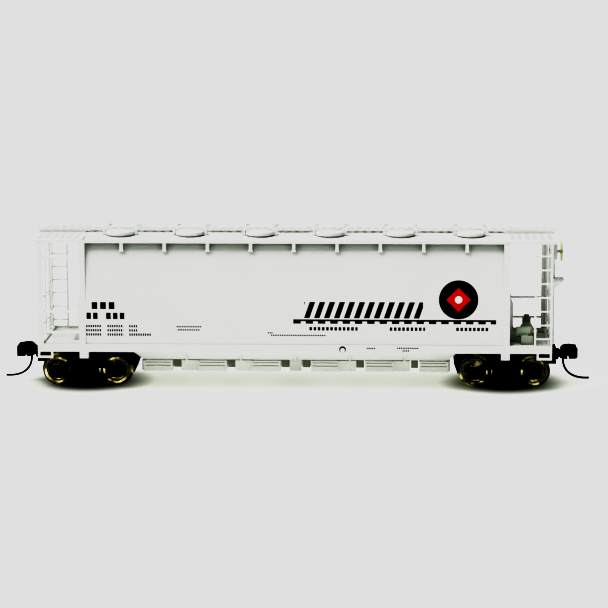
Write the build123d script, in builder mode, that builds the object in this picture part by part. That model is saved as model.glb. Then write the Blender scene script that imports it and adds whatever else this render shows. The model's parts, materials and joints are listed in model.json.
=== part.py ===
"""N scale (1:160) cylindrical covered hopper car, as separate pieces in one frame, in millimetres.

+X points to the brake end (end b), +Y to the car's left side and +Z up.
The origin is on the car's centre line at mid length, level with the rail top.
Both ends are alike after a half turn about Z, so most end pieces are drawn once, at end b.
"""

from build123d import *
import os

os.makedirs("parts", exist_ok=True)

# ---------------------------------------------------------------- driving dimensions
RUN_GAP = 0.05          # clearance on a moving fit, each side
TANK_HALF = 39.5        # car centre to the tank's end sheet
FLANGE_END = 40.3       # car centre to the edge of the tank's corner flanges
FRAME_HALF = 48.2       # car centre to the end sill's face
ROOF_END = 49.0         # car centre to the end of the roof walks
HALF_WIDTH = 10.0       # outside of side sills, flanges and eaves

SILL_BOTTOM = 6.9
SILL_TOP = 8.45
SILL_THICK = 0.8
PLATFORM_TOP = 8.0      # end platform deck, lower than the sills around it
PLATFORM_THICK = 0.6
EAVE_BOTTOM = 27.55
EAVE_TOP = 28.05
ROOF_CREST = 28.4

WALL = 0.9              # tank moulding's wall
END_SHEET = 0.8

TRUCK_X = 39.5          # car centre to truck centre
WHEEL_BASE = 11.1
AXLE_X = WHEEL_BASE / 2
TREAD_RADIUS = 2.62
FLANGE_RADIUS = 3.12
AXLE_Z = TREAD_RADIUS

GATE_X = (-26.2, -15.85, -5.6, 5.6, 15.85, 26.2)
HATCH_PITCH = 13.2
HATCH_ROWS = 4.1        # car centre line to a row of hatches
BRACKET_PITCH = 8.06


def rod(start, end, radius):
    """Add a round bar between two points to the part being built."""
    run = Vector(*end) - Vector(*start)
    with Locations(Plane(origin=start, z_dir=run)):
        Cylinder(radius, run.length, align=(Align.CENTER, Align.CENTER, Align.MIN))


def block(x, y, z, mode=Mode.ADD):
    """Add a block given by its (low, high) limits on each axis to the part being built."""
    with Locations(((x[0] + x[1]) / 2, (y[0] + y[1]) / 2, (z[0] + z[1]) / 2)):
        Box(x[1] - x[0], y[1] - y[0], z[1] - z[0], mode=mode)


def write_pair(piece, name, shift=0.0):
    """Write a piece, moved along X by shift, at end b and half turned at end a."""
    for end, turn in (("a", 180), ("b", 0)):
        placed = piece.moved(Location((shift, 0, 0))).rotate(Axis.Z, turn)
        placed.label = f"{name}_{end}"
        export_step(placed, f"parts/{name}_{end}.step")


# ---------------------------------------------------------------- tank shell
SIDE_FOOT_Y = 9.85      # half width where the side meets the sill
SIDE_BULGE = (10.0, 15.5)
SHOULDER = (9.5, 24.6)  # where the side starts to turn in under the eave
RIM_Y = 8.0             # half width under the roof
FLANGE_THICK = 0.5
GUSSET_Y = 5.5
GUSSET_THICK = 0.5
GUSSET_FOOT = 42.0      # car centre to the gusset's toe on the deck
GUSSET_WAIST = 41.05    # car centre to its upright edge
GUSSET_LOW = 10.4
GUSSET_HIGH = 15.8
GUSSET_TOP = 19.8

with BuildPart() as body_shell:
    with BuildSketch(Plane.YZ.offset(-TANK_HALF)) as tank_section:
        with BuildLine():
            foot = Line((0, SILL_TOP), (SIDE_FOOT_Y, SILL_TOP))
            side = ThreePointArc(foot @ 1, SIDE_BULGE, SHOULDER)
            turn_in = TangentArc(side @ 1, (RIM_Y, EAVE_BOTTOM), tangent=side % 1)
            rim = Line(turn_in @ 1, (0, EAVE_BOTTOM))
            Line(rim @ 1, foot @ 0)
        make_face()
        mirror(about=Plane.YZ)
    extrude(amount=2 * TANK_HALF)
    # flat end sheets, as wide as the frame, with a corner flange up each side
    for side_x in (-1, 1):
        block(sorted((side_x * TANK_HALF, side_x * (TANK_HALF - END_SHEET / 2))),
              (-HALF_WIDTH, HALF_WIDTH), (SILL_TOP, EAVE_BOTTOM))
        for side_y in (-1, 1):
            block(sorted((side_x * (TANK_HALF - END_SHEET / 2), side_x * FLANGE_END)),
                  sorted((side_y * (HALF_WIDTH - FLANGE_THICK), side_y * HALF_WIDTH)),
                  (SILL_TOP, EAVE_BOTTOM))
    # hollow, open at the roof and at the floor
    with BuildSketch(Plane.YZ.offset(-TANK_HALF + END_SHEET)):
        add(tank_section.sketch_local)
        offset(amount=-WALL)
    extrude(amount=2 * (TANK_HALF - END_SHEET), mode=Mode.SUBTRACT)
    inside_x = (-TANK_HALF + END_SHEET, TANK_HALF - END_SHEET)
    block(inside_x, (-RIM_Y + WALL, RIM_Y - WALL), (EAVE_BOTTOM - 2 * WALL, EAVE_BOTTOM + WALL),
          mode=Mode.SUBTRACT)
    block(inside_x, (-SIDE_FOOT_Y + WALL, SIDE_FOOT_Y - WALL), (SILL_TOP - WALL, SILL_TOP + 2 * WALL),
          mode=Mode.SUBTRACT)
    # gussets that stiffen each end sheet
    for gusset_y in (-GUSSET_Y, GUSSET_Y):
        with BuildSketch(Plane.XZ.offset(-gusset_y)):
            for side_x in (-1, 1):
                with BuildLine():
                    Polyline((side_x * TANK_HALF, SILL_TOP), (side_x * GUSSET_FOOT, SILL_TOP),
                             (side_x * GUSSET_WAIST, GUSSET_LOW), (side_x * GUSSET_WAIST, GUSSET_HIGH),
                             (side_x * TANK_HALF, GUSSET_TOP), close=True)
                make_face()
        extrude(amount=GUSSET_THICK / 2, both=True)
body_shell.part.label = "body_shell"
export_step(body_shell.part, "parts/body_shell.step")

# ---------------------------------------------------------------- roof
LEDGE_IN = 8.2          # half width where the flat eave ledge meets the cambered roof
COAMING_RADIUS = 2.4
COAMING_TOP = 28.75
LUG_X = 3.0             # hatch centre to a lug's centre
PAD_TOP = 28.48
PAD_HALF = (0.35, 0.55)  # half size of the pad under a hatch lug, along and across the car
SADDLE_HALF = 0.3
SADDLE_Y = 1.1
BRACKET_THICK = 0.65
BRACKET_FOOT_Z = 26.15
BRACKET_FACE = 9.75     # half width at the brackets' feet
hatch_x = [HATCH_PITCH * (i - 2.5) for i in range(6)]
hatch_places = [(x, side * HATCH_ROWS) for x in hatch_x for side in (-1, 1)]
bracket_x = [BRACKET_PITCH * i for i in range(-4, 5)]

with BuildPart() as roof:
    with BuildSketch(Plane.YZ.offset(-TANK_HALF)):
        with BuildLine():
            under = Line((0, EAVE_BOTTOM), (HALF_WIDTH, EAVE_BOTTOM))
            edge = Line(under @ 1, (HALF_WIDTH, EAVE_TOP))
            ledge = Line(edge @ 1, (LEDGE_IN, EAVE_TOP))
            ThreePointArc(ledge @ 1, (LEDGE_IN / 2, ROOF_CREST - 0.08), (0, ROOF_CREST))
            Line((0, ROOF_CREST), under @ 0)
        make_face()
        mirror(about=Plane.YZ)
    extrude(amount=2 * TANK_HALF)
    with BuildSketch(Plane.XY.offset(EAVE_TOP)):
        with Locations(*hatch_places):
            Circle(COAMING_RADIUS)
    extrude(amount=COAMING_TOP - EAVE_TOP)
    # flat pads under the hatch lugs and under the running board's saddles
    for x, y in hatch_places:
        block((x - LUG_X - PAD_HALF[0], x + LUG_X + PAD_HALF[0]), (y - PAD_HALF[1], y + PAD_HALF[1]),
              (EAVE_TOP, PAD_TOP))
    for x in hatch_x:
        block((x - SADDLE_HALF - 0.1, x + SADDLE_HALF + 0.1), (-SADDLE_Y - 0.1, SADDLE_Y + 0.1),
              (EAVE_TOP, PAD_TOP))
    # brackets that carry the eave, each with a small foot on the tank side
    for x in bracket_x:
        for side_y in (-1, 1):
            with BuildSketch(Plane.YZ.offset(x - BRACKET_THICK / 2)):
                with BuildLine():
                    Polyline((side_y * (RIM_Y - 0.1), EAVE_BOTTOM), (side_y * 9.9, EAVE_BOTTOM),
                             (side_y * BRACKET_FACE, BRACKET_FOOT_Z), (side_y * 8.8, BRACKET_FOOT_Z),
                             close=True)
                make_face()
            extrude(amount=BRACKET_THICK)
            block((x - 0.42, x + 0.42), sorted((side_y * 8.8, side_y * BRACKET_FACE)),
                  (BRACKET_FOOT_Z - 0.2, BRACKET_FOOT_Z + 0.2))
    add(body_shell.part, mode=Mode.SUBTRACT)
roof.part.label = "roof"
export_step(roof.part, "parts/roof.step")

# ---------------------------------------------------------------- hatch covers and their lugs
COVER_RADIUS = 2.65
COVER_RIM_TOP = 29.1
COVER_CROWN = 29.32
SKIRT = 0.25            # how far a cover reaches down around its coaming

with BuildPart() as one_cover:
    with BuildSketch(Plane.XZ):
        with BuildLine():
            crown = ThreePointArc((0, COVER_CROWN), (COVER_RADIUS * 0.45, COVER_CROWN - 0.05),
                                  (COVER_RADIUS * 0.85, COVER_RIM_TOP))
            Polyline(crown @ 1, (COVER_RADIUS - 0.1, COVER_RIM_TOP), (COVER_RADIUS, COVER_RIM_TOP - 0.1),
                     (COVER_RADIUS, COAMING_TOP - SKIRT), (COAMING_RADIUS + RUN_GAP, COAMING_TOP - SKIRT),
                     (COAMING_RADIUS + RUN_GAP, COAMING_TOP), (0, COAMING_TOP), crown @ 0)
        make_face()
    revolve(axis=Axis.Z)
hatch_covers = Compound(children=[one_cover.part.moved(Location((x, y, 0))) for x, y in hatch_places])
hatch_covers.label = "hatch_covers"
export_step(hatch_covers, "parts/hatch_covers.step")

LUG_TOP = 29.45
with BuildPart() as hatch_lugs:
    for x, y in hatch_places:
        for side_x in (-1, 1):
            block((x + side_x * LUG_X - 0.25, x + side_x * LUG_X + 0.25), (y - 0.45, y + 0.45),
                  (PAD_TOP, LUG_TOP))
            block(sorted((x + side_x * 2.3, x + side_x * LUG_X)), (y - 0.22, y + 0.22),
                  (COVER_RIM_TOP, LUG_TOP))
hatch_lugs.part.label = "hatch_lugs"
export_step(hatch_lugs.part, "parts/hatch_lugs.step")

# ---------------------------------------------------------------- roof walks
WALK_HALF_WIDTH = 1.25
WALK_BOTTOM = 28.8
WALK_TOP = 29.2
WALK_HALF = 49.6
SLOT_PITCH = 1.6
DECK_BOTTOM = 28.1      # end walk's grating over its rim
DECK_TOP = 28.3
RIM_SET_BACK = 0.15

with BuildPart() as running_board:
    with BuildSketch(Plane.XY.offset(WALK_BOTTOM)):
        Rectangle(2 * WALK_HALF, 2 * WALK_HALF_WIDTH)
        with GridLocations(SLOT_PITCH, 1.1, int(2 * WALK_HALF / SLOT_PITCH), 2):
            Rectangle(1.1, 0.7, mode=Mode.SUBTRACT)
    extrude(amount=WALK_TOP - WALK_BOTTOM)
    for x in hatch_x:
        block((x - SADDLE_HALF, x + SADDLE_HALF), (-SADDLE_Y, SADDLE_Y), (PAD_TOP, WALK_BOTTOM))
    for side_x in (-1, 1):
        block(sorted((side_x * (TANK_HALF + 0.3), side_x * (ROOF_END - 0.2))), (-SADDLE_Y, SADDLE_Y),
              (DECK_TOP, WALK_BOTTOM))
running_board.part.label = "running_board"
export_step(running_board.part, "parts/running_board.step")

with BuildPart() as end_walk:
    # rim under the edges, grating on top of it
    block((TANK_HALF, ROOF_END - RIM_SET_BACK), (-HALF_WIDTH + RIM_SET_BACK, HALF_WIDTH - RIM_SET_BACK),
          (EAVE_BOTTOM, DECK_BOTTOM))
    block((TANK_HALF, ROOF_END), (-HALF_WIDTH, HALF_WIDTH), (DECK_BOTTOM, DECK_TOP))
    with BuildSketch(Plane.XY.offset(EAVE_BOTTOM)) as slots:
        with Locations(((TANK_HALF + ROOF_END) / 2, 5.6), ((TANK_HALF + ROOF_END) / 2, -5.6)):
            with GridLocations(1.4, 1.1, 6, 7):
                Rectangle(1.0, 0.7)
    extrude(slots.sketch, amount=DECK_TOP - EAVE_BOTTOM, mode=Mode.SUBTRACT)
write_pair(end_walk.part, "end_walk")

# ---------------------------------------------------------------- underframe
BOLSTER_HALF = 0.85
PAD_BOTTOM = 5.65
PAD_IN = 8.6
BOSS_BOTTOM = 6.4
BOSS_RADIUS = 2.2
PIN_RADIUS = 1.0
TROUGH_HALF = 31.0      # car centre to the ends of the hopper trough
HIGH_FLOOR = 42.4       # car centre to the edge of the higher floor under the tank's end
FLOOR_Y = 9.5           # half width of the floors between the sills
PLATE_HOLE = (46.1, 4.0)  # drain slot in the end platform

with BuildPart() as underframe:
    for side_y in (-1, 1):
        block((-FRAME_HALF, FRAME_HALF), sorted((side_y * (HALF_WIDTH - SILL_THICK), side_y * HALF_WIDTH)),
              (SILL_BOTTOM, SILL_TOP))
    for side_x in (-1, 1):
        block(sorted((side_x * (FRAME_HALF - 0.8), side_x * FRAME_HALF)), (-HALF_WIDTH, HALF_WIDTH),
              (SILL_BOTTOM, SILL_TOP))
        # deck of the end platform, and the higher floor under the tank's end
        block(sorted((side_x * FLANGE_END, side_x * (FRAME_HALF - 0.1))), (-FLOOR_Y, FLOOR_Y),
              (PLATFORM_TOP - PLATFORM_THICK, PLATFORM_TOP))
        block(sorted((side_x * TROUGH_HALF, side_x * HIGH_FLOOR)), (-FLOOR_Y, FLOOR_Y),
              (PLATFORM_TOP - PLATFORM_THICK, SILL_TOP))
        block(sorted((side_x * (TRUCK_X - BOLSTER_HALF), side_x * (TRUCK_X + BOLSTER_HALF))),
              (-HALF_WIDTH, HALF_WIDTH), (SILL_BOTTOM, PLATFORM_TOP))
        for side_y in (-1, 1):
            block(sorted((side_x * (TRUCK_X - BOLSTER_HALF), side_x * (TRUCK_X + BOLSTER_HALF))),
                  sorted((side_y * PAD_IN, side_y * HALF_WIDTH)), (PAD_BOTTOM, SILL_BOTTOM))
        with BuildSketch(Plane.XY.offset(BOSS_BOTTOM)):
            with Locations((side_x * TRUCK_X, 0)):
                Circle(BOSS_RADIUS)
        extrude(amount=SILL_TOP - BOSS_BOTTOM)
        with BuildSketch(Plane.XY.offset(BOSS_BOTTOM)):
            with Locations((side_x * TRUCK_X, 0)):
                Circle(PIN_RADIUS)
            with Locations((side_x * PLATE_HOLE[0], -side_x * PLATE_HOLE[1])):
                Rectangle(1.1, 0.7)
        extrude(amount=SILL_TOP - BOSS_BOTTOM, mode=Mode.SUBTRACT)
underframe.part.label = "underframe"
export_step(underframe.part, "parts/underframe.step")

# ---------------------------------------------------------------- hopper trough, gates and ballast
TROUGH_TOP = 7.4
TROUGH_BOTTOM = 4.4
TROUGH_IN = 9.15        # half width inside the side sills
OUTLET_HALF = 3.6
BAR_HALF = 1.2          # half width of the centre sill bar
BAR_TOP = 7.35
TOOTH_HALF = 0.68       # half length of the sill's tooth between two gates
TOOTH_BOTTOM = 2.45
gap_x = [side * (x - 3.6) for side in (-1, 1) for x in GATE_X[3:]]

with BuildPart() as hopper_trough:
    block((-TROUGH_HALF, TROUGH_HALF), (-TROUGH_IN, TROUGH_IN), (TROUGH_TOP, SILL_TOP))
    with BuildSketch(Plane.XY.offset(TROUGH_BOTTOM)):
        Rectangle(2 * 29.0, 2 * OUTLET_HALF)
    with BuildSketch(Plane.XY.offset(TROUGH_TOP)):
        Rectangle(2 * TROUGH_HALF, 2 * TROUGH_IN)
    loft()
    # seams between the six bays, and the cross rib in the middle
    for i in range(-2, 3):
        with BuildSketch(Plane.YZ.offset(10.35 * i - 0.2)):
            with BuildLine():
                Polyline((-TROUGH_IN, TROUGH_TOP), (-TROUGH_IN, TROUGH_TOP - 0.3),
                         (-OUTLET_HALF, TROUGH_BOTTOM - 0.25), (OUTLET_HALF, TROUGH_BOTTOM - 0.25),
                         (TROUGH_IN, TROUGH_TOP - 0.3), (TROUGH_IN, TROUGH_TOP), close=True)
            make_face()
        extrude(amount=0.4)
    block((-1.15, 1.15), (-3.4, 3.4), (2.2, TROUGH_BOTTOM))
    block((-29.5, 29.5), (-BAR_HALF - RUN_GAP, BAR_HALF + RUN_GAP), (1.5, TROUGH_TOP), mode=Mode.SUBTRACT)
    block((-TROUGH_HALF, TROUGH_HALF), (-BAR_HALF - RUN_GAP, BAR_HALF + RUN_GAP), (6.9, TROUGH_TOP),
          mode=Mode.SUBTRACT)
hopper_trough.part.label = "hopper_trough"
export_step(hopper_trough.part, "parts/hopper_trough.step")

with BuildPart() as centre_sill:
    block((-37.2, 37.2), (-BAR_HALF, BAR_HALF), (6.95, BAR_TOP))
    block((-28.6, 28.6), (-BAR_HALF, BAR_HALF), (TROUGH_BOTTOM + RUN_GAP, BAR_TOP))
    for x in gap_x:
        block((x - TOOTH_HALF, x + TOOTH_HALF), (-BAR_HALF, BAR_HALF), (TOOTH_BOTTOM, TROUGH_BOTTOM + RUN_GAP))
centre_sill.part.label = "centre_sill"
export_step(centre_sill.part, "parts/centre_sill.step")

GATE_HALF = 2.725
GATE_BOTTOM = 2.0
GATE_TOP = TROUGH_BOTTOM
GATE_DEPTH = 3.5
GATE_INSIDE = 3.1       # half width of the boxes beside a gate
GATE_LIP = 0.25         # the gate's frame stops this far under the trough
GATE_SLOTS = (3.2, 3.8)
for number, x in enumerate(GATE_X, start=1):
    outward = 1 if x > 0 else -1
    box_end = 3.1 if abs(x) > 20 else 5.9
    with BuildPart() as outlet_gate:
        block((x - GATE_HALF, x + GATE_HALF), (-GATE_DEPTH, GATE_DEPTH), (GATE_BOTTOM, GATE_TOP - GATE_LIP))
        chamfer(outlet_gate.edges().filter_by(Axis.X).group_by(Axis.Z)[0], 0.3)
        block(sorted((x + outward * GATE_HALF, x + outward * box_end)), (-GATE_INSIDE, GATE_INSIDE),
              (GATE_BOTTOM + 0.15, GATE_TOP - GATE_LIP))
        for side_y in (-1, 1):
            # neck up to the trough
            block((x - GATE_HALF + 0.4, x + GATE_HALF - 0.4), sorted((side_y * 1.3, side_y * GATE_INSIDE)),
                  (GATE_TOP - GATE_LIP, GATE_TOP))
            # slots of the sliding gate, and the upright rack guide beside them
            for slot_z in GATE_SLOTS:
                block((x - 2.45, x + 2.45), sorted((side_y * GATE_INSIDE, side_y * (GATE_DEPTH + 0.1))),
                      (slot_z - 0.1, slot_z + 0.1), mode=Mode.SUBTRACT)
            block(sorted((x + outward * 2.55, x + outward * 2.75)),
                  sorted((side_y * GATE_INSIDE, side_y * (GATE_DEPTH + 0.25))),
                  (GATE_BOTTOM + 0.6, GATE_TOP - GATE_LIP))
    outlet_gate.part.label = f"outlet_gate_{number}"
    export_step(outlet_gate.part, f"parts/outlet_gate_{number}.step")

with BuildPart() as steel_weight:
    block((-34, 34), (-7.5, 7.5), (SILL_TOP, SILL_TOP + 3.0))
    chamfer(steel_weight.edges().filter_by(Axis.Z), 1.0)
steel_weight.part.label = "steel_weight"
export_step(steel_weight.part, "parts/steel_weight.step")

# ---------------------------------------------------------------- end cages
GRAB_Z = (10.6, 14.5, 24.9)
GRAB_RADIUS = 0.24
GRAB_Y = HALF_WIDTH - 0.25
RUNG_Z = [9.7 + 2.6 * i for i in range(7)]
STILE = 0.4
LADDER_IN = 44.8
FACE_Y = HALF_WIDTH - STILE / 2
FACE_X = FRAME_HALF - STILE / 2
END_LADDER_Y = (-9.1, -6.0)

with BuildPart() as end_frame:
    # angle post on the corner without a side ladder
    block((FRAME_HALF - 1.2, FRAME_HALF), (HALF_WIDTH - 0.4, HALF_WIDTH), (SILL_TOP, EAVE_BOTTOM))
    block((FRAME_HALF - 0.4, FRAME_HALF), (HALF_WIDTH - 1.2, HALF_WIDTH), (SILL_TOP, EAVE_BOTTOM))
    # middle post, corner strut behind the ladders, and the bars that tie them together
    block((FRAME_HALF - 0.4, FRAME_HALF), (-0.3, 0.3), (SILL_TOP, EAVE_BOTTOM))
    block((FRAME_HALF - 0.4, FRAME_HALF), (-5.4, -4.9), (SILL_TOP, EAVE_BOTTOM))
    for z in (11.2, 16.3):
        rod((FACE_X, -5.2, z), (FACE_X, HALF_WIDTH - 0.2, z), 0.2)
write_pair(end_frame.part, "end_frame")

with BuildPart() as grab_irons:
    for z in GRAB_Z:
        rod((FLANGE_END, GRAB_Y, z), (FRAME_HALF - 1.2, GRAB_Y, z), GRAB_RADIUS)
    rod((FLANGE_END, -GRAB_Y, GRAB_Z[2]), (LADDER_IN, -GRAB_Y, GRAB_Z[2]), GRAB_RADIUS)
write_pair(grab_irons.part, "grab_irons")

with BuildPart() as side_ladder:
    for x in (LADDER_IN, FRAME_HALF - STILE):
        block((x, x + STILE), (-HALF_WIDTH, -HALF_WIDTH + STILE), (SILL_TOP, EAVE_BOTTOM))
    for z in RUNG_Z:
        rod((LADDER_IN + 0.1, -FACE_Y, z), (FRAME_HALF - 0.1, -FACE_Y, z), 0.16)
write_pair(side_ladder.part, "side_ladder")

with BuildPart() as end_ladder:
    for y in END_LADDER_Y:
        block((FRAME_HALF - STILE, FRAME_HALF), (y - 0.2, y + 0.2), (SILL_TOP, EAVE_BOTTOM))
    for z in RUNG_Z:
        rod((FACE_X, END_LADDER_Y[0], z), (FACE_X, END_LADDER_Y[1], z), 0.16)
write_pair(end_ladder.part, "end_ladder")

STEP_IN = 45.3
STEP_BOTTOM = 5.7
with BuildPart() as stirrup_steps:
    for side_x in (-1, 1):
        for side_y in (-1, 1):
            y_limits = sorted((side_y * (HALF_WIDTH - 0.5), side_y * HALF_WIDTH))
            block(sorted((side_x * STEP_IN, side_x * FRAME_HALF)), y_limits, (STEP_BOTTOM, SILL_BOTTOM))
            block(sorted((side_x * (STEP_IN + 0.45), side_x * (FRAME_HALF - 0.45))), y_limits,
                  (STEP_BOTTOM + 0.45, SILL_BOTTOM), mode=Mode.SUBTRACT)
stirrup_steps.part.label = "stirrup_steps"
export_step(stirrup_steps.part, "parts/stirrup_steps.step")

# ---------------------------------------------------------------- brake gear, at end b
WHEEL_Y = -3.0
WHEEL_Z = 25.3
BRAKE_WHEEL_X = 50.1
HOUSING_X = (FRAME_HALF, FRAME_HALF + 1.1)

with BuildPart() as brake_housing:
    block(HOUSING_X, (-4.2, -1.8), (23.7, 26.9))
    fillet(brake_housing.edges().filter_by(Axis.X), 0.5)
    block((FRAME_HALF - 0.4, FRAME_HALF), (-4.9, -0.3), (24.3, 25.1))
    block((FRAME_HALF - 0.4, FRAME_HALF), (-4.9, -0.3), (26.0, 26.6))
brake_housing.part.label = "brake_housing"
export_step(brake_housing.part, "parts/brake_housing.step")

RIM_RADIUS = 1.8
RIM_THICK = 0.34
SPOKES = 5
with BuildPart() as brake_wheel:
    with BuildSketch(Plane(origin=(BRAKE_WHEEL_X, WHEEL_Y, WHEEL_Z), z_dir=(1, 0, 0))):
        Circle(RIM_RADIUS + RIM_THICK / 2)
        Circle(RIM_RADIUS - RIM_THICK / 2, mode=Mode.SUBTRACT)
        with PolarLocations(RIM_RADIUS / 2, SPOKES):
            Rectangle(RIM_RADIUS, 0.24)
        Circle(0.45)
    extrude(amount=RIM_THICK / 2, both=True)
    rod((HOUSING_X[1], WHEEL_Y, WHEEL_Z), (BRAKE_WHEEL_X, WHEEL_Y, WHEEL_Z), 0.3)
brake_wheel.part.label = "brake_wheel"
export_step(brake_wheel.part, "parts/brake_wheel.step")

with BuildPart() as brake_rod:
    rod((FRAME_HALF + 0.5, WHEEL_Y, SILL_TOP - 0.9), (FRAME_HALF + 0.5, WHEEL_Y, 23.7), 0.22)
    rod((FRAME_HALF, WHEEL_Y, SILL_TOP - 0.7), (FRAME_HALF + 0.5, WHEEL_Y, SILL_TOP - 0.7), 0.2)
    rod((FRAME_HALF + 0.5, WHEEL_Y, 21.6), (FRAME_HALF + 0.5, WHEEL_Y, 23.7), 0.35)
brake_rod.part.label = "brake_rod"
export_step(brake_rod.part, "parts/brake_rod.step")

STEP_Z = 19.8
with BuildPart() as brake_step:
    with BuildSketch(Plane.XY.offset(STEP_Z)):
        with Locations((FRAME_HALF + 1.2, WHEEL_Y)):
            Rectangle(2.4, 5.0)
            with GridLocations(0.8, 0.9, 2, 5):
                Rectangle(0.5, 0.55, mode=Mode.SUBTRACT)
        with Locations((FRAME_HALF + 0.5, WHEEL_Y)):
            Circle(0.45, mode=Mode.SUBTRACT)
    extrude(amount=0.3)
    for y in (-5.4, -0.6):
        with BuildSketch(Plane.XZ.offset(-y)):
            with BuildLine():
                Polyline((FRAME_HALF, STEP_Z), (FRAME_HALF + 2.2, STEP_Z), (FRAME_HALF, STEP_Z - 1.6),
                         close=True)
            make_face()
        extrude(amount=0.15, both=True)
brake_step.part.label = "brake_step"
export_step(brake_step.part, "parts/brake_step.step")

TANK_AXIS = (43.9, 9.65)
with BuildPart() as air_reservoir:
    with BuildSketch(Plane.XZ.offset(5.2)):
        with Locations(TANK_AXIS):
            Circle(1.35)
    extrude(amount=-7.2)
    fillet(air_reservoir.edges().filter_by(GeomType.CIRCLE), 0.5)
    for y in (-4.2, 0.4):
        block((TANK_AXIS[0] - 1.0, TANK_AXIS[0] + 1.0), (y - 0.25, y + 0.25),
              (PLATFORM_TOP, TANK_AXIS[1] - 0.4))
air_reservoir.part.label = "air_reservoir"
export_step(air_reservoir.part, "parts/air_reservoir.step")

CYLINDER_AXIS = (-6.6, 10.55)
CYLINDER_RADIUS = 1.0
CYLINDER_X = (41.4, 44.4)
PLATE_Y = (-8.4, -7.7)
PLATE_TOP = 10.0
with BuildPart() as brake_cylinder:
    with BuildSketch(Plane.YZ.offset(CYLINDER_X[0])):
        with Locations(CYLINDER_AXIS):
            Circle(CYLINDER_RADIUS)
    extrude(amount=CYLINDER_X[1] - CYLINDER_X[0])
    chamfer(brake_cylinder.edges().filter_by(GeomType.CIRCLE), 0.25)
    rod((CYLINDER_X[1] - 0.1, *CYLINDER_AXIS), (CYLINDER_X[1] + 1.2, *CYLINDER_AXIS), 0.3)
    # mounting plate on the deck, with the arm that holds the cylinder
    block((HIGH_FLOOR + RUN_GAP, 44.7), PLATE_Y, (PLATFORM_TOP, PLATE_TOP))
    block((42.6, 43.8), (PLATE_Y[0] + 0.2, CYLINDER_AXIS[0]), (9.5, PLATE_TOP + 0.2))
brake_cylinder.part.label = "brake_cylinder"
export_step(brake_cylinder.part, "parts/brake_cylinder.step")

with BuildPart() as control_valve:
    block((42.9, 45.1), (3.4, 5.4), (PLATFORM_TOP, 9.6))
    block((43.2, 44.8), (3.7, 5.1), (9.6, 11.4))
    with Locations((44.0, 4.4, 11.4)):
        Cylinder(0.5, 0.6, align=(Align.CENTER, Align.CENTER, Align.MIN))
    chamfer(control_valve.edges().filter_by(Axis.Z), 0.2)
control_valve.part.label = "control_valve"
export_step(control_valve.part, "parts/control_valve.step")

with BuildPart() as brake_pipes:
    rod((44.0, 2.0, 9.65), (44.0, 3.4, 9.65), 0.2)
    rod((45.1, 4.4, 8.6), (47.4, 4.4, 8.6), 0.2)
brake_pipes.part.label = "brake_pipes"
export_step(brake_pipes.part, "parts/brake_pipes.step")

# ---------------------------------------------------------------- trucks, drawn about their own centre
FRAME_IN = 6.2          # half width between the side frames
FRAME_OUT = 7.4
AXLE_RADIUS = 0.75
SEAT_RADIUS = 0.6       # where a wheel is pressed on
NEEDLE_TIP = 6.8
NEEDLE_ROOT = 6.15
JOURNAL_RADIUS = 0.5
BOLSTER_TOP = 5.2
CENTRE_TOP = 6.35
TRAY_X = (4.3, 9.9)     # coupler tray, outboard of the bolster
TRAY_Y = 2.45
TRAY_Z = (3.65, 6.2)
LID_TOP = 6.65
POST_LOCAL_X = 6.4
POST_RADIUS = 0.6
MOUTH_X = 9.0           # the tray's side walls stop here
BEAM_IN = -9.5
BEAM_HALF = 3.5

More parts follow.
